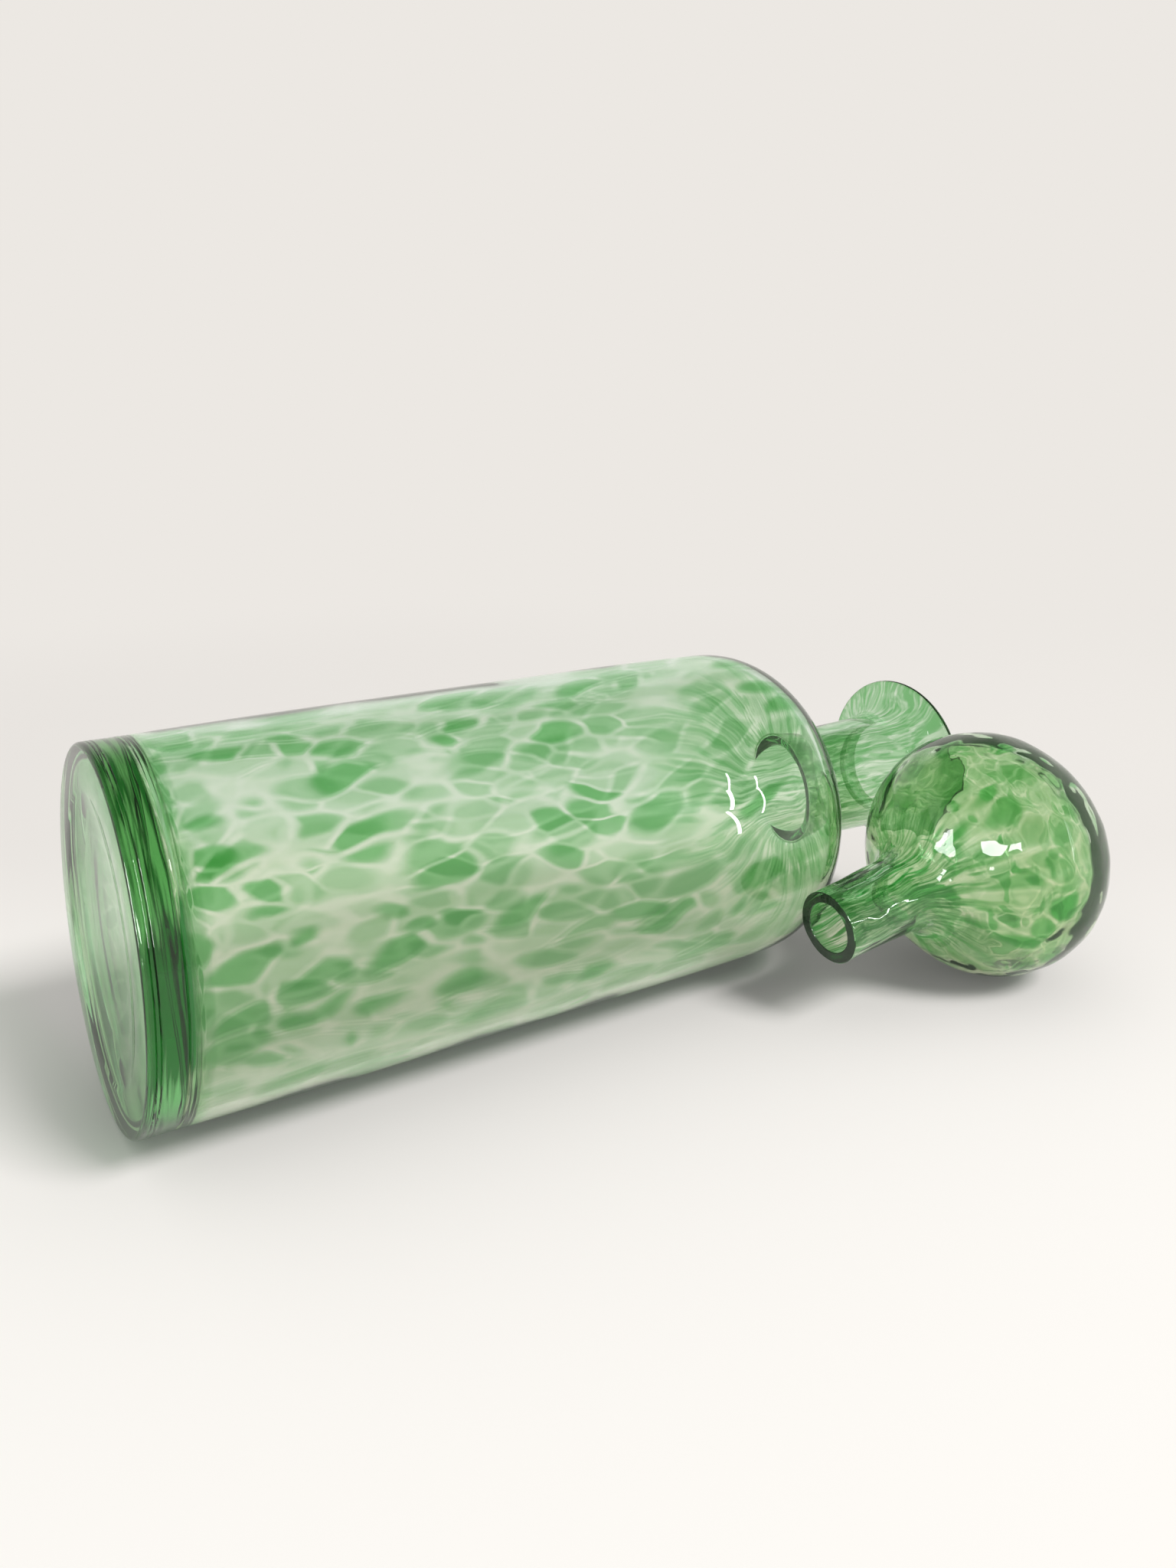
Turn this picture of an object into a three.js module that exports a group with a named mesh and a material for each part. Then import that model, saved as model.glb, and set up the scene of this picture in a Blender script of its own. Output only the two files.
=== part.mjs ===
// Blown glass carafe with a hollow ball stopper, in millimetres, +Z up.
// The carafe lies on its side along X, neck towards +X, and the stopper lies beside its neck.
import * as THREE from 'three';

// Carafe, along its axis from the foot
const bodyLength = 190.3;
const bodyRadius = 50;
const bodyWall = 3;
const footDrawIn = 0.6;
const footDrawInLength = 70;
const baseThickness = 10.5;
const puntDepth = 2.5;
const puntSlopeWidth = 9.5;
const footRingWidth = 10;
const heelRadius = 1.3;
const innerHeelRadius = 3;
const shoulderRise = 32.3;
const shoulderWall = 3.4;
const shoulderSquareness = 2.53;
const neckFillet = 4;
const neckLength = 55.9;
const neckWall = 3.7;
const neckWidening = 1.2;
const flareLength = 11;
const flareEndRise = 2;
const lipRadius = 30.6;
const lipThickness = 2.5;

// Stopper, along its axis from the middle of the ball
const ballRadius = 38.8;
const ballHalfLength = 34.8;
const ballWall = 3;
const poleThickness = 6;
const stemReach = 68.7;
const stemRadius = 11;
const stemWall = 3.8;
const stemWidening = 0.6;
const stemFillet = 8;
const stemRimBevel = 0.4;

// Fits and the places where the two pieces lie
const stemPlay = 3.4;
const lyingClearance = 0.9;
const ballBehindLip = 24;
const stemDipDegrees = 7;
const stemSwingDegrees = 1.7;

// Facets
const carafeSides = 64;
const stopperSides = 48;
const ovalSteps = 10;
const ballSteps = 15;
const cornerSteps = 4;
const flareSteps = 7;

const stemRootRadius = stemRadius + stemWidening;
const neckBore = stemRadius + stemPlay;
const neckRadius = neckBore + neckWall;
const shoulderTop = bodyLength + shoulderRise;
const lipHeight = shoulderTop + neckLength;
const neckTopRadius = neckRadius + neckWidening;
const footRadius = bodyRadius - footDrawIn;

const glass = { roughness: 0.05, metalness: 0, transparent: true, opacity: 0.6 };
const carafeGlass = new THREE.MeshStandardMaterial({ color: 0x9ccb9a, ...glass });
const stopperGlass = new THREE.MeshStandardMaterial({ color: 0x86bf82, ...glass });

const at = (radius, height) => new THREE.Vector2(radius, height);

// Points on an oval about the axis; a squareness above 2 fills out its corners
function oval({ middle, radius, halfLength, squareness = 2, from, to, steps }) {
  const bulge = 2 / squareness;
  return Array.from({ length: steps + 1 }, (_, i) => {
    const angle = from + ((to - from) * i) / steps;
    const rise = Math.sign(angle) * Math.abs(Math.sin(angle)) ** bulge;
    return at(radius * Math.abs(Math.cos(angle)) ** bulge, middle + halfLength * rise);
  });
}

// The angle at which an oval has narrowed to a given radius
function narrowingAngle(radius, widest, squareness = 2) {
  return Math.acos(Math.min(1, radius / widest) ** (squareness / 2));
}

// A curve's last points, its smooth turn onto a tube, and the tube's start
function turnOntoTube(curve, tubeRadius, reach) {
  const [before, end] = curve.slice(-2);
  const slope = (end.y - before.y) / (end.x - before.x);
  const corner = at(tubeRadius, end.y + slope * (tubeRadius - end.x));
  const landing = at(tubeRadius, corner.y + reach);
  return [...curve, ...bend(end, corner, landing, cornerSteps).slice(1)];
}

function bend(start, corner, end, steps) {
  return new THREE.QuadraticBezierCurve(start, corner, end).getPoints(steps);
}

// Round stretch about a point, from one angle to another, in degrees
function arc(centre, radius, fromDegrees, toDegrees, steps) {
  const from = THREE.MathUtils.degToRad(fromDegrees);
  const to = THREE.MathUtils.degToRad(toDegrees);
  const curve = new THREE.EllipseCurve(centre.x, centre.y, radius, radius, from, to, to < from);
  return curve.getPoints(steps);
}

// A solid of revolution whose axis turns from the lathe's Y to X, with a facet underneath
function turned(name, outline, sides, material) {
  const profile = outline.map((point) => at(Math.max(0, point.x), point.y));
  profile[0].x = 0;
  profile[profile.length - 1].x = 0;
  const geometry = new THREE.LatheGeometry(profile, sides, Math.PI / sides);
  geometry.rotateZ(-Math.PI / 2);
  const mesh = new THREE.Mesh(geometry, material);
  mesh.name = name;
  return mesh;
}

function carafeOutside() {
  const footEdge = footRadius - heelRadius;
  const puntEdge = footEdge - footRingWidth;
  const puntTurn = Math.max(0, puntEdge - puntSlopeWidth);
  const punt = bend(at(0, puntDepth), at(puntTurn, puntDepth), at(puntEdge, 0), cornerSteps);
  const heel = arc(at(footEdge, heelRadius), heelRadius, -90, 0, cornerSteps);
  const drawIn = bend(
    at(footRadius, heelRadius),
    at(bodyRadius, (heelRadius + footDrawInLength) / 2),
    at(bodyRadius, footDrawInLength),
    cornerSteps,
  );
  const shoulder = oval({
    middle: bodyLength,
    radius: bodyRadius,
    halfLength: shoulderRise,
    squareness: shoulderSquareness,
    from: 0,
    to: narrowingAngle(neckRadius + neckFillet, bodyRadius, shoulderSquareness),
    steps: ovalSteps,
  });
  const rimBottom = at(lipRadius - lipThickness / 2, lipHeight - lipThickness);
  const flare = bend(
    at(neckTopRadius, rimBottom.y - flareLength),
    at(neckTopRadius, rimBottom.y - flareEndRise),
    rimBottom,
    flareSteps,
  );
  const neck = turnOntoTube(shoulder, neckRadius, neckFillet);
  return [...punt, ...heel, ...drawIn.slice(1), ...neck, ...flare];
}

function carafeInside() {
  const wallRadius = bodyRadius - bodyWall;
  const heelMiddle = at(wallRadius - innerHeelRadius, baseThickness + innerHeelRadius);
  const heel = arc(heelMiddle, innerHeelRadius, -90, 0, cornerSteps);
  const shoulder = oval({
    middle: bodyLength,
    radius: wallRadius,
    halfLength: shoulderRise - shoulderWall,
    squareness: shoulderSquareness,
    from: 0,
    to: narrowingAngle(neckBore + neckFillet, wallRadius, shoulderSquareness),
    steps: ovalSteps,
  });
  const rimTop = at(lipRadius - lipThickness / 2, lipHeight);
  const flare = bend(
    at(neckBore + neckWidening, rimTop.y - flareLength),
    at(neckBore + neckWidening, rimTop.y - flareEndRise),
    rimTop,
    flareSteps,
  );
  return [at(0, baseThickness), ...heel, ...turnOntoTube(shoulder, neckBore, neckFillet), ...flare];
}

// One piece of blown glass: thick base, body, shoulder, neck and flared lip
function carafe() {
  const rimMiddle = at(lipRadius - lipThickness / 2, lipHeight - lipThickness / 2);
  const rim = arc(rimMiddle, lipThickness / 2, -90, 90, cornerSteps).slice(1, -1);
  const outline = [...carafeOutside(), ...rim, ...carafeInside().reverse()];
  return turned('carafe', outline, carafeSides, carafeGlass);
}

function stopperOutside() {
  const ball = oval({
    middle: 0,
    radius: ballRadius,
    halfLength: ballHalfLength,
    from: -Math.PI / 2,
    to: narrowingAngle(stemRootRadius + stemFillet, ballRadius),
    steps: ballSteps,
  });
  const rim = [at(stemRadius, stemReach - stemRimBevel), at(stemRadius - stemRimBevel, stemReach)];
  return [...turnOntoTube(ball, stemRootRadius, stemFillet), ...rim];
}

function stopperInside() {
  const bore = stemRadius - stemWall;
  const hollowRadius = ballRadius - ballWall;
  const ball = oval({
    middle: (poleThickness - ballWall) / 2,
    radius: hollowRadius,
    halfLength: ballHalfLength - (poleThickness + ballWall) / 2,
    from: -Math.PI / 2,
    to: narrowingAngle(bore + stemFillet, hollowRadius),
    steps: ballSteps,
  });
  const rim = [at(bore, stemReach - stemRimBevel), at(bore + stemRimBevel, stemReach)];
  return [...turnOntoTube(ball, bore, stemFillet), ...rim];
}

// One piece of blown glass: a hollow ball that opens into a tube with a ground end
function stopper() {
  const outline = [...stopperOutside(), ...stopperInside().reverse()];
  return turned('stopper', outline, stopperSides, stopperGlass);
}

// How far apart the two axes lie, seen from above, when round pieces of two radii lie side by side
function apart(radiusA, heightA, radiusB, heightB) {
  const between = radiusA + radiusB + lyingClearance;
  return Math.sqrt(Math.max(0, between ** 2 - (heightA - heightB) ** 2));
}

// The stopper lies clear of the lip, the neck and the body, whichever reaches furthest
function stopperOffset() {
  const alongBall = Math.max(0, ballBehindLip - lipThickness) / ballHalfLength;
  const ballBesideLip = ballRadius * Math.sqrt(Math.max(0, 1 - alongBall ** 2));
  const stemEndHeight = ballRadius - stemReach * Math.sin(THREE.MathUtils.degToRad(stemDipDegrees));
  return Math.max(
    apart(lipRadius, bodyRadius, ballBesideLip, ballRadius),
    apart(neckTopRadius, bodyRadius, ballRadius, ballRadius),
    apart(bodyRadius, bodyRadius, stemRootRadius, stemEndHeight),
  );
}

function restOnTable(piece) {
  const lowest = new THREE.Box3().setFromObject(piece, true).min.z;
  piece.position.z -= lowest;
}

const lyingCarafe = carafe();
restOnTable(lyingCarafe);

// The stem points back along the carafe, dips below the ball's middle and swings away from the body
const lyingStopper = stopper();
lyingStopper.rotation.order = 'ZYX';
lyingStopper.rotation.y = THREE.MathUtils.degToRad(stemDipDegrees);
lyingStopper.rotation.z = Math.PI + THREE.MathUtils.degToRad(stemSwingDegrees);
lyingStopper.position.set(lipHeight - ballBehindLip, -stopperOffset(), 0);
restOnTable(lyingStopper);

// The origin is on the table, under the middle of both pieces
const carafeAndStopper = new THREE.Group();
carafeAndStopper.add(lyingCarafe, lyingStopper);
const middle = new THREE.Box3().setFromObject(carafeAndStopper, true).getCenter(new THREE.Vector3());
carafeAndStopper.position.set(-middle.x, -middle.y, 0);

export default carafeAndStopper;
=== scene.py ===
"""A hand-blown carafe of mottled green glass, lying on a table, with its ball stopper beside the neck."""

import math
from collections import namedtuple

import bpy
from mathutils import Matrix, Quaternion, Vector
from mathutils.kdtree import KDTree


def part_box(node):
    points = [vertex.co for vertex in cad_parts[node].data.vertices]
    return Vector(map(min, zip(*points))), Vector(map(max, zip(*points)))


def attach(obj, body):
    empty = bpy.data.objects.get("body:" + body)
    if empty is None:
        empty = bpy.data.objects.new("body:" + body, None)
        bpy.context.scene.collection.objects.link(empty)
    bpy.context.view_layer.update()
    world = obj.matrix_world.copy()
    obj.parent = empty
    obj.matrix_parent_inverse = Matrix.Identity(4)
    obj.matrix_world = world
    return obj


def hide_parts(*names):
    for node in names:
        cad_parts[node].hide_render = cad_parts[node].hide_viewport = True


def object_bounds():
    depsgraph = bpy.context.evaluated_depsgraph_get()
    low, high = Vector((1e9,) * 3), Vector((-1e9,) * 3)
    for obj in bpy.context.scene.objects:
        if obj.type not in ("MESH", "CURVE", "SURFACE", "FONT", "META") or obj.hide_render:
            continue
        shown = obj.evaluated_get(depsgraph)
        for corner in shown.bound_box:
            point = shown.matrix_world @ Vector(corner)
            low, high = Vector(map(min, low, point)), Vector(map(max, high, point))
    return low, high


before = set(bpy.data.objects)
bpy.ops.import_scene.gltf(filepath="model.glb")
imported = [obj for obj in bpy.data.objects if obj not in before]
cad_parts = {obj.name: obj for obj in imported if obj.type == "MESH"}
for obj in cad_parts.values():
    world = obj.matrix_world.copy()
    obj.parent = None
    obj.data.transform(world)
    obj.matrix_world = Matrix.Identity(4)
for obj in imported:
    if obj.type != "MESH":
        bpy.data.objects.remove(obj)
cad_low, cad_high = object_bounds()

MM = 0.001

# Carafe, in millimetres along its axis from the foot
BODY_LENGTH = 190.3
BODY_WALL = 3.0
FOOT_DRAW_IN = 0.6
FOOT_DRAW_IN_LENGTH = 70.0
CROWN_LENGTH = 40.0
CROWN_DRAW_IN = 0.5
BASE_THICKNESS = 10.5
PUNT_DEPTH = 2.5
PUNT_SLOPE_WIDTH = 9.5
FOOT_RING_WIDTH = 10.0
HEEL_RADIUS = 1.3
INNER_HEEL_RADIUS = 3.0
HEEL_GROOVES = (2.1, 3.2)
GROOVE_DEPTH = 0.25
FOLD_START, FOLD_BOTTOM, FOLD_END = 9.1, 9.35, 9.9
FOLD_DEPTH = 0.5
SHOULDER_RISE = 32.3
SHOULDER_WALL = 3.0
SHOULDER_SQUARENESS = 2.53
NECK_FILLET = 1.6
INNER_NECK_FILLET = 4.0
NECK_LENGTH = 55.9
NECK_BORE = 14.4
NECK_WALL = 3.7
NECK_WIDENING = 1.2
FLARE_LENGTH = 11.0
FLARE_END_RISE = 2.0
LIP_RADIUS = 30.6
LIP_THICKNESS = 2.5

# Stopper, in millimetres along its axis from the middle of the ball
BALL_RADIUS = 38.8
BALL_HALF_LENGTH = 34.8
BALL_WALL = 3.0
POLE_THICKNESS = 6.0
STEM_REACH = 68.7
STEM_RADIUS = 11.0
STEM_WALL = 3.8
STEM_WIDENING = 0.6
STEM_FILLET = 8.0
STEM_RIM_BEVEL = 0.4
STEM_DIP = math.radians(7)
STEM_SWING = math.radians(1.7)

# Steps round the glass, the length of a step along it, and the steps on its bends
CARAFE_TURNS = 176
STOPPER_TURNS = 144
RUN_STEP = 5.0
PUNT_STEPS = 16
HEEL_STEPS = 8
DRAW_IN_STEPS = 12
CROWN_STEPS = 10
DOME_STEPS = 32
NECK_TURN_STEPS = 10
FLARE_STEPS = 20
RIM_STEPS = 12
BALL_STEPS = 60
BALL_DRAWING_STEPS = 14
STEM_TURN_STEPS = 12

# How close points are welded, in millimetres, and the sharpest edge that is shaded smooth
WELD = 0.01
SMOOTH_ANGLE = math.radians(40)

# The squareness of an oval that is an ellipse
ROUND = 2.0

# Camera, where the photograph was taken from. Its picture is measured in pixels, its sensor in millimetres
PHOTO_HEIGHT = 2048
SENSOR_WIDTH = 36
FOCAL_PIXELS = 1627.35
CENTRE_ROW = 812.2
CAMERA_PLACE = Vector((-196.7, -290.0, 177.4)) * MM
CAMERA_YAW = math.radians(57.88)
CAMERA_PITCH = math.radians(9.43)
CAMERA_ROLL = math.radians(-0.73)


# Outlines. A Ring is one point of an outline: where it is along and out from the axis, where its glass
# lay before it was drawn out, how far it was drawn, how deep its colour is, and whether it is inside

Ring = namedtuple("Ring", "along out laid_along laid_out drawn deep inside", defaults=[False])


def between(a, b, share):
    return a + (b - a) * share


def run(start, end):
    """Points along a straight stretch, a few millimetres apart."""
    length = math.hypot(end[0] - start[0], end[1] - start[1])
    steps = max(1, round(length / RUN_STEP))
    shares = [i / steps for i in range(steps + 1)]
    return [(between(start[0], end[0], share), between(start[1], end[1], share)) for share in shares]


def bend(start, corner, end, steps):
    """Points on a smooth bend that leaves start towards corner and arrives at end from it."""
    pulls = start, corner, end
    points = []
    for i in range(steps + 1):
        t = i / steps
        weights = ((1 - t) ** 2, 2 * t * (1 - t), t**2)
        points.append(tuple(sum(w * pull[axis] for w, pull in zip(weights, pulls)) for axis in (0, 1)))
    return points


def arc(centre, radius, start, end, steps):
    """Points on a round arc, between two angles in degrees that are measured from the outward side."""
    points = []
    for i in range(steps + 1):
        angle = math.radians(between(start, end, i / steps))
        points.append((centre[0] + radius * math.sin(angle), centre[1] + radius * math.cos(angle)))
    return points


def oval(middle, half_length, radius, start, end, steps, squareness=ROUND):
    """Points on an oval round the axis, whose corners fill out as its squareness passes 2."""
    bulge = 2 / squareness
    points = []
    for i in range(steps + 1):
        angle = between(start, end, i / steps)
        rise = math.copysign(abs(math.sin(angle)) ** bulge, angle)
        points.append((middle + half_length * rise, radius * abs(math.cos(angle)) ** bulge))
    return points


def narrowing_angle(radius, widest, squareness=ROUND):
    """The angle at which an oval has narrowed to a given radius."""
    return math.acos((radius / widest) ** (squareness / 2))


def turn_onto_tube(curve, tube_radius, reach, steps):
    """The smooth turn from a curve's last points onto a tube."""
    before, end = curve[-2:]
    slope = (end[0] - before[0]) / (end[1] - before[1])
    corner = (end[0] + slope * (tube_radius - end[1]), tube_radius)
    return bend(end, corner, (corner[0] + reach, tube_radius), steps)


def rings(points, laid_start, laid_end, laid_out, drawn=(0, 0), deep=(0, 0)):
    """Rings through these points, whose glass lay evenly between two places along a straight gather."""
    lengths = [0.0]
    for a, b in zip(points, points[1:]):
        lengths.append(lengths[-1] + math.hypot(b[0] - a[0], b[1] - a[1]))
    made = []
    for (along, out), length in zip(points, lengths):
        share = length / lengths[-1]
        laid_along = between(laid_start, laid_end, share)
        made.append(Ring(along, out, laid_along, laid_out, between(*drawn, share), between(*deep, share)))
    return made


def disc_rings(points, deep=(0, 0)):
    """Rings across a foot or floor, whose glass lies as it was."""
    step = 1 / (len(points) - 1)
    made = []
    for i, (along, out) in enumerate(points):
        made.append(Ring(along, out, along, out, 0, between(*deep, i * step)))
    return made


def inner(outline):
    """An inner outline, drawn back towards where the outer one started."""
    return [ring._replace(inside=True) for ring in reversed(outline)]


def joined(*stretches):
    """One outline from stretches that start where the last one ended."""
    outline = list(stretches[0])
    for stretch in stretches[1:]:
        outline += stretch[1:]
    return outline


# Where the glass of each stretch lay in the straight gather, along its axis
LAID_SHOULDER = 20.0
LAID_NECK = 16.0
LAID_FLARE = 7.0
TWIST = math.radians(0.17)
laid_body_end = BODY_LENGTH
laid_neck_start = laid_body_end + LAID_SHOULDER
laid_flare_start = laid_neck_start + LAID_NECK
laid_lip = laid_flare_start + LAID_FLARE

# The glass near the foot was stretched less
UNSTRETCHED = 16.0
UNSTRETCHED_REACH = 22.0

# How far the glass was drawn, from 0 on the body to 1 on the neck, and further on the flare
BODY_DRAWN = 0
NECK_DRAWN = 1
FLARE_DRAWN = 1.6

# How deep the colour is, from the start of a stretch to its end. It is full round the thick base and on
# the stem's end
PUNT_DEEP = (0.3, 0.5)
FOOT_RING_DEEP = (0.5, 0.6)
HEEL_DEEP = (0.6, 1)
FULLY_DEEP = (1, 1)
FLOOR_DEEP = (0.25, 0.45)


def less_stretched(outline):
    """An outline whose glass lay further apart along the gather, the nearer it is to the foot."""
    made = []
    for ring in outline:
        back = UNSTRETCHED * math.exp(-ring.laid_along / UNSTRETCHED_REACH)
        made.append(ring._replace(laid_along=ring.laid_along - back))
    return made


def carafe_outline(body_radius):
    """From the middle of the foot round the outside to the lip, and back inside to the floor's middle."""
    foot_radius = body_radius - FOOT_DRAW_IN
    foot_edge = foot_radius - HEEL_RADIUS
    punt_edge = foot_edge - FOOT_RING_WIDTH
    neck_radius = NECK_BORE + NECK_WALL
    neck_top = neck_radius + NECK_WIDENING
    lip_height = BODY_LENGTH + SHOULDER_RISE + NECK_LENGTH
    rim_out = LIP_RADIUS - LIP_THICKNESS / 2

    punt_turn = punt_edge - PUNT_SLOPE_WIDTH
    punt = bend((PUNT_DEPTH, 0), (PUNT_DEPTH, punt_turn), (0, punt_edge), PUNT_STEPS)
    foot_ring = run((0, punt_edge), (0, foot_edge))
    heel = arc((HEEL_RADIUS, foot_edge), HEEL_RADIUS, -90, 0, HEEL_STEPS)
    slab = [(HEEL_RADIUS, foot_radius)]
    for groove in HEEL_GROOVES:
        slab += [
            (groove - GROOVE_DEPTH, foot_radius),
            (groove, foot_radius - GROOVE_DEPTH),
            (groove + GROOVE_DEPTH, foot_radius),
        ]
    slab += [
        (FOLD_START, foot_radius),
        (FOLD_BOTTOM, foot_radius - FOLD_DEPTH),
        (FOLD_END, foot_radius),
        (BASE_THICKNESS, foot_radius),
    ]
    draw_in = bend(
        (BASE_THICKNESS, foot_radius),
        ((BASE_THICKNESS + FOOT_DRAW_IN_LENGTH) / 2, body_radius),
        (FOOT_DRAW_IN_LENGTH, body_radius),
        DRAW_IN_STEPS,
    )
    crown_start = BODY_LENGTH - CROWN_LENGTH
    top_radius = body_radius - CROWN_DRAW_IN
    straight = run((FOOT_DRAW_IN_LENGTH, body_radius), (crown_start, body_radius))
    crown = bend(
        (crown_start, body_radius),
        (BODY_LENGTH - CROWN_LENGTH / 2, body_radius),
        (BODY_LENGTH, top_radius),
        CROWN_STEPS,
    )
    dome_end = narrowing_angle(neck_radius + NECK_FILLET, top_radius, SHOULDER_SQUARENESS)
    dome = oval(BODY_LENGTH, SHOULDER_RISE, top_radius, 0, dome_end, DOME_STEPS, SHOULDER_SQUARENESS)
    neck_turn = turn_onto_tube(dome, neck_radius, NECK_FILLET, NECK_TURN_STEPS)
    neck_foot = neck_turn[-1][0]
    flare_start = lip_height - LIP_THICKNESS - FLARE_LENGTH
    neck = run((neck_foot, neck_radius), (flare_start, neck_top))
    flare = bend(
        (flare_start, neck_top),
        (lip_height - LIP_THICKNESS - FLARE_END_RISE, neck_top),
        (lip_height - LIP_THICKNESS, rim_out),
        FLARE_STEPS,
    )
    rim = arc((lip_height - LIP_THICKNESS / 2, rim_out), LIP_THICKNESS / 2, -90, 90, RIM_STEPS)

    wall = body_radius - BODY_WALL
    inner_dome_end = narrowing_angle(NECK_BORE + INNER_NECK_FILLET, wall, SHOULDER_SQUARENESS)
    inner_rise = SHOULDER_RISE - SHOULDER_WALL
    inner_dome = oval(BODY_LENGTH, inner_rise, wall, 0, inner_dome_end, DOME_STEPS, SHOULDER_SQUARENESS)
    inner_turn = turn_onto_tube(inner_dome, NECK_BORE, INNER_NECK_FILLET, NECK_TURN_STEPS)
    inner_flare_start = lip_height - FLARE_LENGTH
    bore_top = NECK_BORE + NECK_WIDENING
    inner_neck = run(inner_turn[-1], (inner_flare_start, bore_top))
    inner_flare = bend(
        (inner_flare_start, bore_top),
        (lip_height - FLARE_END_RISE, bore_top),
        (lip_height, rim_out),
        FLARE_STEPS,
    )
    inner_foot = BASE_THICKNESS + INNER_HEEL_RADIUS
    floor_edge = wall - INNER_HEEL_RADIUS
    inner_heel = arc((inner_foot, floor_edge), INNER_HEEL_RADIUS, -90, 0, HEEL_STEPS)
    floor = run((BASE_THICKNESS, 0), (BASE_THICKNESS, floor_edge))
    inner_body = run((inner_foot, wall), (BODY_LENGTH, wall))

    drawing = BODY_DRAWN, NECK_DRAWN
    drawn = NECK_DRAWN, NECK_DRAWN
    flaring = NECK_DRAWN, FLARE_DRAWN
    flared = FLARE_DRAWN, FLARE_DRAWN
    inside = joined(
        disc_rings(floor, FLOOR_DEEP),
        rings(inner_heel, BASE_THICKNESS, inner_foot, body_radius),
        rings(inner_body, inner_foot, laid_body_end, body_radius),
        rings(joined(inner_dome, inner_turn), laid_body_end, laid_neck_start, body_radius, drawing),
        rings(inner_neck, laid_neck_start, laid_flare_start, body_radius, drawn),
        rings(inner_flare, laid_flare_start, laid_lip, body_radius, flaring),
    )
    outline = joined(
        disc_rings(punt, PUNT_DEEP),
        disc_rings(foot_ring, FOOT_RING_DEEP),
        rings(heel, 0, HEEL_RADIUS, body_radius, deep=HEEL_DEEP),
        rings(slab, HEEL_RADIUS, BASE_THICKNESS, body_radius, deep=FULLY_DEEP),
        rings(draw_in, BASE_THICKNESS, FOOT_DRAW_IN_LENGTH, body_radius),
        rings(joined(straight, crown), FOOT_DRAW_IN_LENGTH, laid_body_end, body_radius),
        rings(joined(dome, neck_turn), laid_body_end, laid_neck_start, body_radius, drawing),
        rings(neck, laid_neck_start, laid_flare_start, body_radius, drawn),
        rings(flare, laid_flare_start, laid_lip, body_radius, flaring),
        rings(rim, laid_lip, laid_lip, body_radius, flared),
        inner(inside),
    )
    return less_stretched(outline)


# The ball's glass lies as it is, up to where it draws in towards the stem
LAID_STEM_RADIUS = 32.5
LAID_STEM = 17.0


def stopper_outline():
    """From the ball's pole round the outside to the stem's end, and back inside to the pole."""
    root = STEM_RADIUS + STEM_WIDENING
    bore = STEM_RADIUS - STEM_WALL
    hollow = BALL_RADIUS - BALL_WALL
    pole = -math.pi / 2

    def ball_and_stem(middle, half_length, radius, tube):
        """The ball, its part that draws in, and its turn onto the stem."""
        drawing_start = narrowing_angle(LAID_STEM_RADIUS, radius)
        drawing_end = narrowing_angle(tube + STEM_FILLET, radius)
        whole = oval(middle, half_length, radius, pole, drawing_start, BALL_STEPS)
        drawing = oval(middle, half_length, radius, drawing_start, drawing_end, BALL_DRAWING_STEPS)
        return whole, joined(drawing, turn_onto_tube(drawing, tube, STEM_FILLET, STEM_TURN_STEPS))

    ball, shoulder = ball_and_stem(0, BALL_HALF_LENGTH, BALL_RADIUS, root)
    inner_half = BALL_HALF_LENGTH - (POLE_THICKNESS + BALL_WALL) / 2
    inner_ball, inner_shoulder = ball_and_stem((POLE_THICKNESS - BALL_WALL) / 2, inner_half, hollow, bore)
    laid_start = ball[-1][0]
    laid_root = laid_start + LAID_STEM / 2
    laid_end = laid_start + LAID_STEM
    bevel = STEM_RIM_BEVEL
    stem = run(shoulder[-1], (STEM_REACH - bevel, STEM_RADIUS))
    end = [
        (STEM_REACH - bevel, STEM_RADIUS),
        (STEM_REACH, STEM_RADIUS - bevel),
        (STEM_REACH, (STEM_RADIUS + bore) / 2),
        (STEM_REACH, bore + bevel),
        (STEM_REACH - bevel, bore),
    ]
    inner_stem = run(inner_shoulder[-1], (STEM_REACH - bevel, bore))
    drawing = BODY_DRAWN, NECK_DRAWN
    drawn = NECK_DRAWN, NECK_DRAWN
    inside = joined(
        disc_rings(inner_ball),
        rings(inner_shoulder, laid_start, laid_root, LAID_STEM_RADIUS, drawing),
        rings(inner_stem, laid_root, laid_end, LAID_STEM_RADIUS, drawn),
    )
    return joined(
        disc_rings(ball),
        rings(shoulder, laid_start, laid_root, LAID_STEM_RADIUS, drawing),
        rings(stem, laid_root, laid_end, LAID_STEM_RADIUS, drawn),
        rings(end, laid_end, laid_end, LAID_STEM_RADIUS, drawn, FULLY_DEEP),
        inner(inside),
    )


def turned(name, outline, origin, axis, upward, turns):
    """Glass turned round an axis: its outline is drawn from one point, spun, and closed at its seam."""
    places = [origin + (axis * ring.along + upward * ring.out) * MM for ring in outline]
    bpy.ops.object.select_all(action="DESELECT")
    bpy.ops.mesh.primitive_plane_add(size=MM)
    piece = bpy.context.object
    piece.name = piece.data.name = name
    bpy.ops.object.mode_set(mode="EDIT")
    bpy.ops.mesh.merge(type="CENTER")
    bpy.ops.transform.translate(value=places[0])
    for here, place in zip(places, places[1:]):
        bpy.ops.mesh.extrude_vertices_move(TRANSFORM_OT_translate={"value": place - here})
    bpy.ops.mesh.select_all(action="SELECT")
    bpy.ops.mesh.spin(steps=turns, angle=math.tau, center=origin, axis=axis)
    bpy.ops.mesh.select_all(action="SELECT")
    bpy.ops.mesh.remove_doubles(threshold=WELD * MM)
    bpy.ops.mesh.normals_make_consistent(inside=False)
    bpy.ops.object.mode_set(mode="OBJECT")
    remember_the_gather(piece, outline, origin, axis, upward)
    return piece


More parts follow.
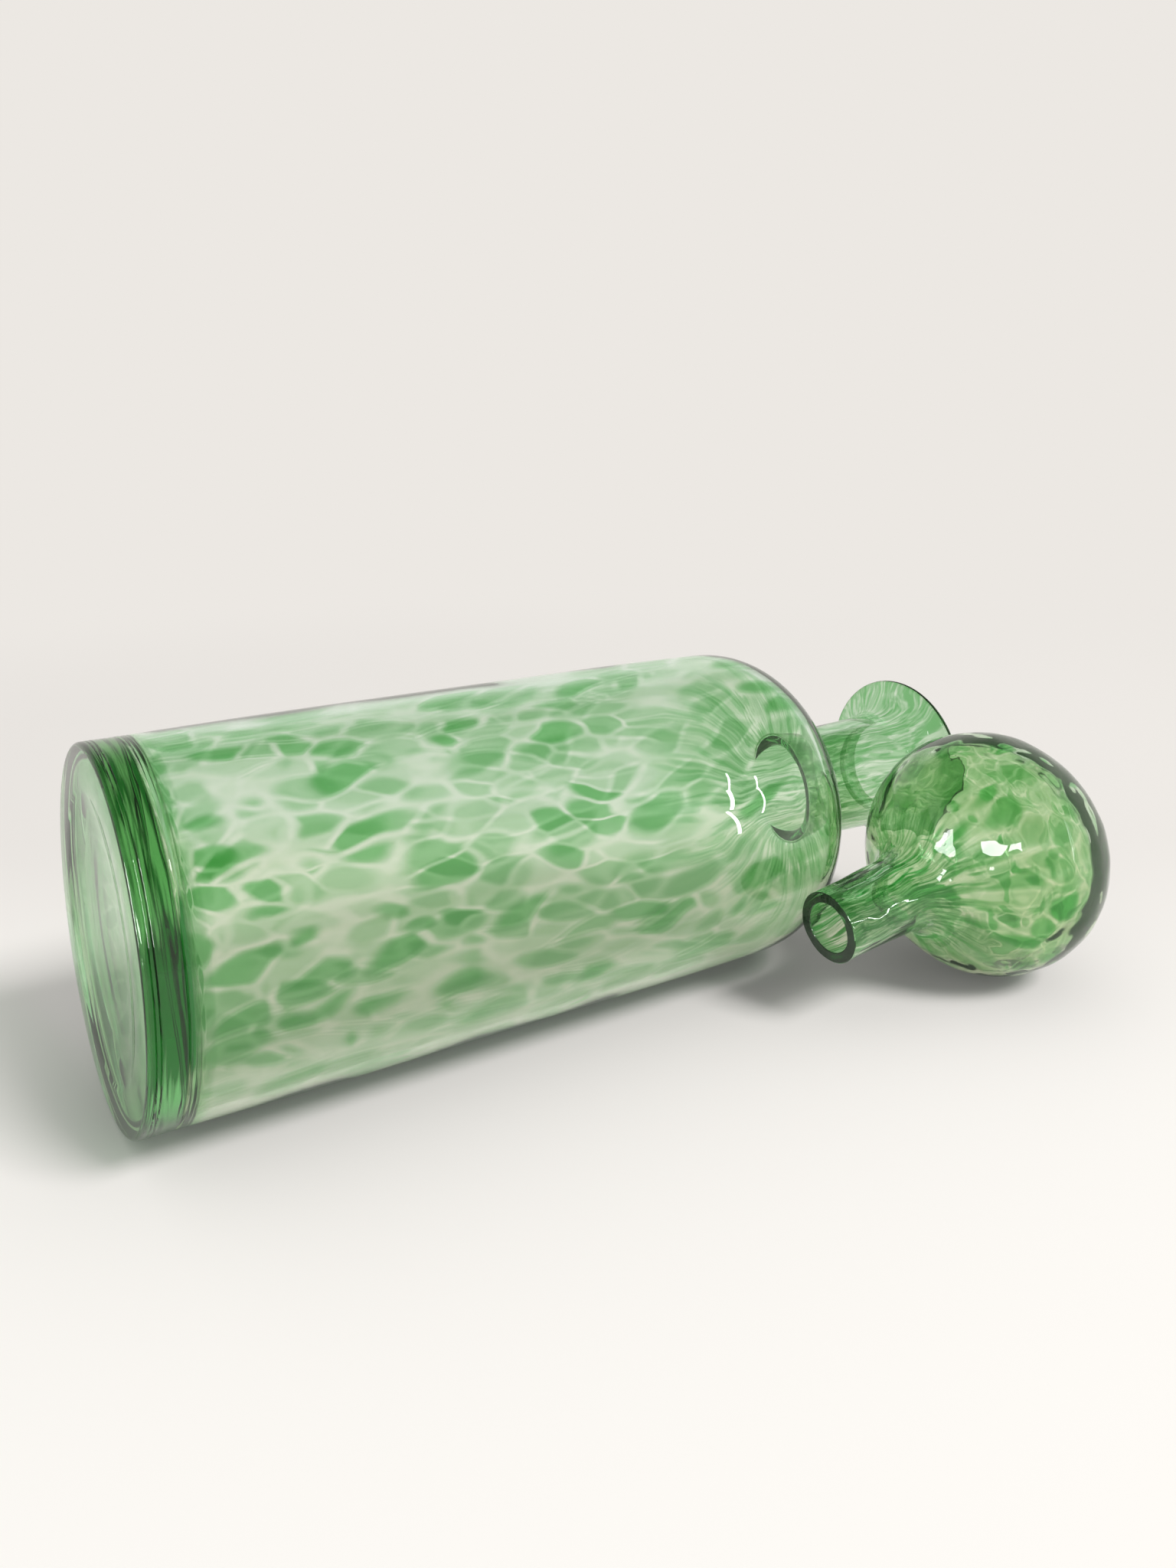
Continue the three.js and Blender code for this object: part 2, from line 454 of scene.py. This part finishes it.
def waved(piece, depth, lump_size, group=""):
    """Sinks the surface, or a group of its points, unevenly by up to a depth, as hand-blown glass is."""
    lumps = bpy.data.textures.new(piece.name + "_lumps", "CLOUDS")
    lumps.noise_scale = lump_size * MM
    lumps.noise_depth = 1
    bpy.context.view_layer.objects.active = piece
    wave = piece.modifiers.new("wave", "DISPLACE")
    wave.texture = lumps
    wave.strength = depth * MM
    wave.mid_level = 1
    wave.vertex_group = group
    bpy.ops.object.modifier_apply(modifier=wave.name)


def remember_the_gather(piece, outline, origin, axis, upward):
    """Keeps on each point where its glass lay, how far it was drawn and how deep its colour is. The points
    that are inside make a group."""
    sideways = axis.cross(upward)
    tree = KDTree(len(outline))
    for index, ring in enumerate(outline):
        tree.insert((ring.along, ring.out, 0), index)
    tree.balance()
    laid, drawn, deep, inside = [], [], [], []
    for vertex in piece.data.vertices:
        arm = (vertex.co - origin) / MM
        along = arm.dot(axis)
        spoke = arm - axis * along
        _, index, _ = tree.find((along, spoke.length, 0))
        ring = outline[index]
        turn = math.atan2(spoke.dot(sideways), spoke.dot(upward)) + TWIST * ring.laid_along
        laid += (ring.laid_along, ring.laid_out * math.cos(turn), ring.laid_out * math.sin(turn))
        drawn.append(ring.drawn)
        deep.append(ring.deep)
        if ring.inside:
            inside.append(vertex.index)
    piece.vertex_groups.new(name="inside").add(inside, 1, "REPLACE")
    for name, kind, field, values in (
        ("laid", "FLOAT_VECTOR", "vector", laid),
        ("drawn", "FLOAT", "value", drawn),
        ("deep", "FLOAT", "value", deep),
    ):
        piece.data.attributes.new(name, kind, "POINT").data.foreach_set(field, values)


# Finishes


class Value:
    """What flows out of a shader node. Arithmetic on it adds Math nodes."""

    def __init__(self, finish, node, output):
        self.finish = finish
        self.made_by = node
        self.socket = node.outputs[output]

    def out(self, output):
        """Another output of the same node."""
        return Value(self.finish, self.made_by, output)

    def maths(self, operation, *numbers):
        return self.finish.node("Math", {"operation": operation}, dict(enumerate(numbers)))

    def __add__(self, other):
        return self.maths("ADD", self, other)

    def __sub__(self, other):
        return self.maths("SUBTRACT", self, other)

    def __rsub__(self, other):
        return self.maths("SUBTRACT", other, self)

    def __mul__(self, other):
        return self.maths("MULTIPLY", self, other)

    def most(self, other):
        return self.maths("MAXIMUM", self, other)

    def ramp(self, start, end, low=0.0, high=1.0):
        """Eases from low to high as this goes from start to end."""
        inputs = {0: self, 1: start, 2: end, 3: low, 4: high}
        return self.finish.node("MapRange", {"interpolation_type": "SMOOTHSTEP"}, inputs)

    __radd__ = __add__
    __rmul__ = __mul__


class Finish:
    """A material, or the world's light, made of nodes."""

    def __init__(self, owner):
        owner.use_nodes = True
        self.owner = owner
        self.tree = owner.node_tree
        self.tree.nodes.clear()

    def node(self, kind, settings=None, inputs=None, output=0):
        """Adds a node, sets it up, feeds its inputs and returns what flows out of it."""
        made = self.tree.nodes.new("ShaderNode" + kind)
        for name, value in (settings or {}).items():
            setattr(made, name, value)
        for name, value in (inputs or {}).items():
            if isinstance(value, Value):
                self.tree.links.new(value.socket, made.inputs[name])
            else:
                made.inputs[name].default_value = value
        return Value(self, made, output)

    def vector(self, operation, a, b):
        return self.node("VectorMath", {"operation": operation}, {0: a, 1: b})

    def blend(self, share, a, b):
        """Goes from colour a to colour b with share."""
        return self.node("Mix", {"data_type": "RGBA"}, {0: share, 6: a, 7: b}, output=2)

    def one_of(self, share, shader, other):
        """Goes from a shader to another one with share."""
        return self.node("MixShader", None, {0: share, 1: shader, 2: other})

    def finished(self, **shaders):
        """Ends the nodes, and returns the material or world."""
        kind = "World" if isinstance(self.owner, bpy.types.World) else "Material"
        end = self.tree.nodes.new("ShaderNodeOutput" + kind)
        for name, shader in shaders.items():
            self.tree.links.new(shader.socket, end.inputs[name])
        return self.owner


def colour(red, green, blue):
    """A colour as it is seen on a screen, from 0 to 255, as the light that it stands for."""

    def light(level):
        share = level / 255
        return share / 12.92 if share <= 0.04045 else ((share + 0.055) / 1.055) ** 2.4

    return (light(red), light(green), light(blue), 1)


CLEAR = colour(254, 255, 253)
MILK = colour(112, 176, 108)
MILK_ROUGHNESS = 0.3
GLASS_IOR = 1.5

# The colour that thick glass takes on and how strongly it does so for each metre, and what the glass lets
# through of the light that falls on the table
THROUGH_DEPTH = (0.0, 0.7, 0.1, 1)
DEPTH_DENSITY = 18.0
THROUGH_TO_TABLE = (0.58, 0.58, 0.58, 1)

# The chips of colour picked up on the gather: how long and wide they are, how soft their outsides are, how
# much their corners fade and how clear the glass is between them
Pieces = namedtuple("Pieces", "size softness roundness seams")

# The colours of one wall of glass, and how long and wide the lumps of its thickest part are, in millimetres
Colours = namedtuple("Colours", "ground chips drawn_ground drawn_chips pool thin grain")


def blown_glass(name, pieces, streak_width, colours, ripple, calm, milkiness):
    """Clear glass with chips of green picked up on the gather, drawn into streaks where it narrows. Its
    ripple is a depth and a size in millimetres. Calm keeps the ripple off what wasn't drawn, and milkiness
    is the share of the glass that scatters light."""
    glass = Finish(bpy.data.materials.new(name))
    laid = glass.node("Attribute", {"attribute_name": "laid"}, output="Vector")
    drawn = glass.node("Attribute", {"attribute_name": "drawn"}, output="Fac")
    deep = glass.node("Attribute", {"attribute_name": "deep"}, output="Fac")

    def noise(place, size, detail, output=0):
        """Noise whose lumps have these sizes along and across."""
        along, across = size
        scaled = glass.vector("MULTIPLY", place, (1 / along, 1 / across, 1 / across))
        return glass.node("TexNoise", None, {"Vector": scaled, "Scale": 1.0, "Detail": detail}, output)

    def shift(place, size, detail):
        """Noise that shifts a place evenly to all sides."""
        return glass.vector("SUBTRACT", noise(place, size, detail, "Color"), (0.5, 0.5, 0.5))

    # Where the chips are, swirled as the glass was worked and bent sideways where it was drawn
    place = glass.vector("MULTIPLY", glass.node("TexCoord", output="Object"), (1 / MM, 1 / MM, 1 / MM))
    wobble = glass.vector("MULTIPLY", shift(place, (12, 12), 0.0), (0, 12, 12))
    wobble = glass.vector("MULTIPLY", wobble, drawn)
    swirl = shift(laid, (26, 15), 1.5)
    length, width = pieces.size
    sway = (length * 0.6, width, width)
    moved = glass.vector("ADD", laid, glass.vector("MULTIPLY", swirl, sway))
    moved = glass.vector("ADD", moved, wobble)

    # Chips of unequal strength, and the seams between them
    cells = {"Vector": glass.vector("MULTIPLY", moved, (1 / length, 1 / width, 1 / width)), "Scale": 1.0}
    rim = glass.node("TexVoronoi", {"feature": "DISTANCE_TO_EDGE"}, cells)
    chip = glass.node("TexVoronoi", {"feature": "F1"}, cells)
    luck = glass.node("SeparateColor", None, {0: chip.out("Color")})
    strength = luck.ramp(0.05, 0.95, 0.3, 1.0)
    patches = noise(laid, (34, 34), 0.0).ramp(0.42, 0.6)
    outskirts = chip.ramp(0.7 - pieces.softness, 0.7) * pieces.roundness
    chips = rim.ramp(0.0, 0.11) * strength * (1 - patches * 0.25) * (1 - outskirts) * (deep * 2.5 + 1)
    uneven = noise(moved, (18, 9), 1.0).ramp(0.35, 0.65, 0.4, 1.0)
    seams = (1 - rim.ramp(0.0, 0.1)) * uneven * pieces.seams

    # Streaks, more of them on the flare and fewer on the shoulder
    more = drawn.ramp(NECK_DRAWN, FLARE_DRAWN) * 0.16
    fewer = (1 - drawn.ramp(0.4, NECK_DRAWN)) * 0.03
    streaks = (noise(moved, (26, streak_width), 1.0) + more - fewer).ramp(0.43, 0.55)
    broad_streaks = noise(moved, (20, streak_width * 3), 0.0).ramp(0.4, 0.6)
    fine_streaks = noise(moved, (40, streak_width / 2), 0.0).ramp(0.5, 0.64)
    shoulder = drawn.ramp(0.05, 0.6)
    mottle = glass.blend(chips, colours.ground, colours.chips)
    mottle = glass.blend(seams, mottle, CLEAR)
    drawn_tone = glass.blend(drawn.ramp(0.3, NECK_DRAWN), colours.chips, colours.drawn_chips)
    drawn_out = glass.blend(streaks, colours.drawn_ground, drawn_tone)
    drawn_out = glass.blend(broad_streaks * 0.4, drawn_out, drawn_tone)
    drawn_out = glass.blend(fine_streaks * 0.4, drawn_out, colours.drawn_ground)
    mottle = glass.blend(shoulder * 0.85, mottle, drawn_out)

    # The thick base: dark and pale streaks, darker at mid height on its side towards the camera as painted
    # shade, paler underneath, and its paler flat faces
    front = glass.node("SeparateXYZ", None, {0: laid}, output="Z")
    up = front.out("Y")
    # Painted shade: the base is darker at mid height on its side towards the camera, where the glass is seen
    # through its full thickness
    painted_front_shade = front.ramp(36, 46) * up.ramp(-22, -6) * (1 - up.ramp(8, 24)) * 0.26
    streaked = (1 - up.ramp(-30, -14)) * 0.08
    along_grain, across_grain = colours.grain
    grain = noise(laid, (along_grain, across_grain), 2.0)
    slow_grain = noise(laid, (along_grain * 3, across_grain / 2), 1.0)
    mixed = grain * 0.6 + slow_grain * 0.4 + streaked - painted_front_shade
    band = glass.blend(mixed.ramp(0.42, 0.56), colours.pool, colours.thin)
    disc = deep * (1 - deep) * 2.2
    seen = glass.blend(disc, glass.blend(deep, mottle, band), colours.chips)

    # The surface, and the glass within
    ripple_depth, ripple_size = ripple
    height = noise(moved, (ripple_size, ripple_size), 1.0) * drawn.most(deep).most(1 - calm)
    bump = glass.node("Bump", None, {"Strength": 1.0, "Distance": ripple_depth * MM, "Height": height})
    solid = glass.node(
        "BsdfPrincipled",
        None,
        {
            "Base Color": seen,
            "Normal": bump,
            "Roughness": 0.0,
            "IOR": GLASS_IOR,
            "Transmission Weight": 1.0,
        },
    )
    milk = glass.node("BsdfPrincipled", None, {"Base Color": MILK, "Roughness": MILK_ROUGHNESS})
    milky = glass.one_of(milkiness, solid, milk)
    for_light = glass.node("BsdfTransparent", None, {"Color": THROUGH_TO_TABLE})
    to_lamp = glass.node("LightPath", output="Is Shadow Ray")
    passing = to_lamp.most(to_lamp.out("Is Diffuse Ray"))
    depth = glass.node("VolumeAbsorption", None, {"Color": THROUGH_DEPTH, "Density": DEPTH_DENSITY})
    return glass.finished(Surface=glass.one_of(passing, milky, for_light), Volume=depth)


# The carafe and the stopper

X, Y, Z = Vector((1, 0, 0)), Vector((0, 1, 0)), Vector((0, 0, 1))

carafe_low, carafe_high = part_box("carafe")
body_radius = (carafe_high.z - carafe_low.z) / 2 / MM
carafe_foot = Vector((carafe_low.x, (carafe_low.y + carafe_high.y) / 2, (carafe_low.z + carafe_high.z) / 2))
carafe = turned("carafe_glass", carafe_outline(body_radius), carafe_foot, X, Z, CARAFE_TURNS)

stopper_low, stopper_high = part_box("stopper")
stem_axis = Vector(
    (
        -math.cos(STEM_DIP) * math.cos(STEM_SWING),
        -math.cos(STEM_DIP) * math.sin(STEM_SWING),
        -math.sin(STEM_DIP),
    )
)


def ball_reach(direction):
    """How far the ball reaches from its middle in a direction."""
    lean = direction.dot(stem_axis)
    return math.sqrt((BALL_HALF_LENGTH * lean) ** 2 + BALL_RADIUS**2 * (1 - lean**2)) * MM


ball_middle = Vector(
    (
        stopper_high.x - ball_reach(X),
        stopper_low.y + ball_reach(Y),
        stopper_low.z + ball_reach(Z),
    )
)
stopper_up = (Z - stem_axis * Z.dot(stem_axis)).normalized()
stopper = turned("stopper_glass", stopper_outline(), ball_middle, stem_axis, stopper_up, STOPPER_TURNS)

waved(carafe, depth=0.3, lump_size=26, group="inside")
waved(stopper, depth=0.7, lump_size=13)
waved(stopper, depth=0.8, lump_size=7, group="inside")

carafe_finish = blown_glass(
    "carafe_glass",
    Pieces(size=(20, 8), softness=0.25, roundness=0.9, seams=0.4),
    streak_width=4.2,
    colours=Colours(
        ground=colour(252, 255, 249),
        chips=colour(138, 206, 140),
        drawn_ground=colour(244, 250, 236),
        drawn_chips=colour(112, 182, 110),
        pool=(0.002, 0.08, 0.006, 1),
        thin=colour(222, 232, 206),
        grain=(1.6, 30),
    ),
    ripple=(0.03, 14),
    calm=1.0,
    milkiness=0.03,
)
stopper_finish = blown_glass(
    "stopper_glass",
    Pieces(size=(9, 8), softness=0.24, roundness=0.9, seams=0.3),
    streak_width=2.8,
    colours=Colours(
        ground=colour(244, 250, 228),
        chips=colour(88, 190, 90),
        drawn_ground=colour(250, 255, 244),
        drawn_chips=colour(34, 154, 56),
        pool=colour(70, 125, 78),
        thin=colour(84, 140, 90),
        grain=(3, 3),
    ),
    ripple=(0.15, 8),
    calm=0.0,
    milkiness=0.05,
)
for piece, node, finish in ((carafe, "carafe", carafe_finish), (stopper, "stopper", stopper_finish)):
    bpy.ops.object.select_all(action="DESELECT")
    piece.select_set(True)
    bpy.context.view_layer.objects.active = piece
    bpy.ops.object.shade_smooth_by_angle(angle=SMOOTH_ANGLE)
    piece.data.materials.append(finish)
    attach(piece, node)
    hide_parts(node)
    node + "_glass"


# Camera

camera_data = bpy.data.cameras.new("camera")
camera = bpy.data.objects.new("camera", camera_data)
bpy.context.collection.objects.link(camera)
camera_data.sensor_width = SENSOR_WIDTH
camera_data.lens = FOCAL_PIXELS * SENSOR_WIDTH / PHOTO_HEIGHT
camera_data.shift_y = (CENTRE_ROW - PHOTO_HEIGHT / 2) / PHOTO_HEIGHT
camera_data.clip_start = 0.01
quarter = math.pi / 2
camera.matrix_world = (
    Matrix.Translation(CAMERA_PLACE)
    @ Matrix.Rotation(CAMERA_YAW - quarter, 4, "Z")
    @ Matrix.Rotation(quarter - CAMERA_PITCH, 4, "X")
    @ Matrix.Rotation(CAMERA_ROLL, 4, "Z")
)
bpy.context.scene.camera = camera


# Table, background and light

BACKGROUND = colour(236, 232, 227)
NEAR_TABLE = colour(252, 249, 244)
# The table as the glass shows it: a painted shadow of the glass near the object, paler further back
NEAR_TABLE_THROUGH_GLASS_IN_PAINTED_SHADOW = colour(236, 232, 212)
FAR_TABLE_THROUGH_GLASS = colour(253, 254, 250)
WALL_THROUGH_GLASS = colour(244, 247, 242)
CEILING = colour(96, 106, 94)
TABLE_SIZE = 12
TOWARDS_BACK = (0.53, 0.85, 0)
TABLE_GLOW_THROUGH_GLASS = 0.55
SOFT_LIGHT = 0.5


def table_finish():
    """A pale table that fades into the background with distance, and glows a little where glass shows it: a
    painted light, darker and warmer near the object as a painted shadow of the glass.
    """
    table = Finish(bpy.data.materials.new("pale_table"))
    place = table.node("TexCoord", output="Object")
    distance = table.node("VectorMath", {"operation": "LENGTH"}, {0: place}, output="Value")
    sides = {0: place, 1: TOWARDS_BACK}
    towards_back = table.node("VectorMath", {"operation": "DOT_PRODUCT"}, sides, output="Value")
    far = towards_back.ramp(-0.06, 0.17).most(distance.ramp(0.9, 1.8))
    tone = table.blend(far, NEAR_TABLE, BACKGROUND)
    # Painted light and shadow: what the glass shows of the table glows, darker near the object where the
    # glass's shadow falls
    far_in_glass = towards_back.ramp(0.08, 0.24)
    glow_tone_with_painted_shadow = table.blend(far_in_glass, NEAR_TABLE_THROUGH_GLASS_IN_PAINTED_SHADOW, FAR_TABLE_THROUGH_GLASS)
    in_glass = table.node("LightPath", output="Is Transmission Ray")
    lit = table.node("BsdfDiffuse", None, {"Color": tone})
    glow = table.node("Emission", None, {"Color": table.blend(in_glass, tone, glow_tone_with_painted_shadow)})
    glowing = distance.ramp(0.35, 0.9).most(in_glass * TABLE_GLOW_THROUGH_GLASS)
    return table.finished(Surface=table.one_of(glowing, lit, glow))


bpy.ops.object.select_all(action="DESELECT")
bpy.ops.mesh.primitive_plane_add(size=TABLE_SIZE)
table_top = bpy.context.object
table_top.name = "table"
table_top.data.materials.append(table_finish())

world = bpy.data.worlds.new("room")
bpy.context.scene.world = world
room = Finish(world)
direction = room.node("TexCoord", output="Generated")
height = room.node("SeparateXYZ", None, {0: direction}, output="Z")
to_camera = room.node("LightPath", output="Is Camera Ray")
through_glass = to_camera.out("Is Transmission Ray")
wall_tone = room.blend(through_glass, BACKGROUND, WALL_THROUGH_GLASS)
room_tone = room.blend(height.ramp(0.3, 0.8), wall_tone, CEILING)
seen_room = to_camera.most(through_glass).most(to_camera.out("Is Glossy Ray"))
soft_light = room.node("Background", None, {"Color": (1, 1, 1, 1), "Strength": SOFT_LIGHT})
seen_light = room.node("Background", None, {"Color": room_tone, "Strength": 1.0})
room.finished(Surface=room.one_of(seen_room, soft_light, seen_light))


def softbox(name, azimuth, elevation, distance, size, power, reflected=True, lean=0.0):
    """A rectangular lamp that faces the middle of the object, from an azimuth measured from +X towards +Y.
    It lights what is rough, or is only there to be reflected in the glass. Its lean turns it in its own
    plane. Angles are in degrees."""
    lamp = bpy.data.lights.new(name, "AREA")
    lamp.shape = "RECTANGLE"
    lamp.size, lamp.size_y = size
    lamp.energy = power
    holder = bpy.data.objects.new(name, lamp)
    bpy.context.collection.objects.link(holder)
    holder.visible_glossy = reflected
    holder.visible_transmission = False
    holder.visible_diffuse = not reflected
    turn, rise = math.radians(azimuth), math.radians(elevation)
    away = Vector((math.cos(turn) * math.cos(rise), math.sin(turn) * math.cos(rise), math.sin(rise)))
    middle = (cad_low + cad_high) / 2
    holder.location = middle + away * distance
    facing = away.to_track_quat("Z", "Y") @ Quaternion((0, 0, 1), -math.radians(lean))
    holder.rotation_euler = facing.to_euler()


# The key lights the table and casts the shadow. The others are windows that are only seen in the glass: the
# right ones as slivers on the shoulder, the back ones in the ball and the left ones on the thick base
softbox("soft_key", -68, 46, 8.0, (2.4, 2.4), 475, reflected=False)
softbox("right_window_top", -46.5, 27.1, 1.4, (0.004, 0.243), 0.1, lean=23.6)
softbox("right_window_middle", -50.1, 17.4, 1.4, (0.008, 0.273), 0.22, lean=14)
softbox("right_window_low", -52.1, 1.6, 1.4, (0.007, 0.5), 0.35, lean=1)
softbox("right_window_edge_top", -45.7, 23.1, 1.4, (0.0035, 0.174), 0.06, lean=21.1)
softbox("right_window_edge_low", -48.4, 13.1, 1.4, (0.0035, 0.346), 0.12, lean=11.4)
softbox("back_window_left", -121, 17, 1.6, (0.4, 0.26), 6.4)
softbox("back_window_right", -139, 17, 1.6, (0.4, 0.26), 6.4)
softbox("back_window_foot", -140, -6, 1.6, (0.12, 0.45), 3)
softbox("left_window", 176, 8, 1.5, (0.16, 0.6), 6)
softbox("left_window_edge", -172, 3, 1.5, (0.24, 1.2), 14, lean=-20)

bpy.context.scene.view_settings.view_transform = "Standard"
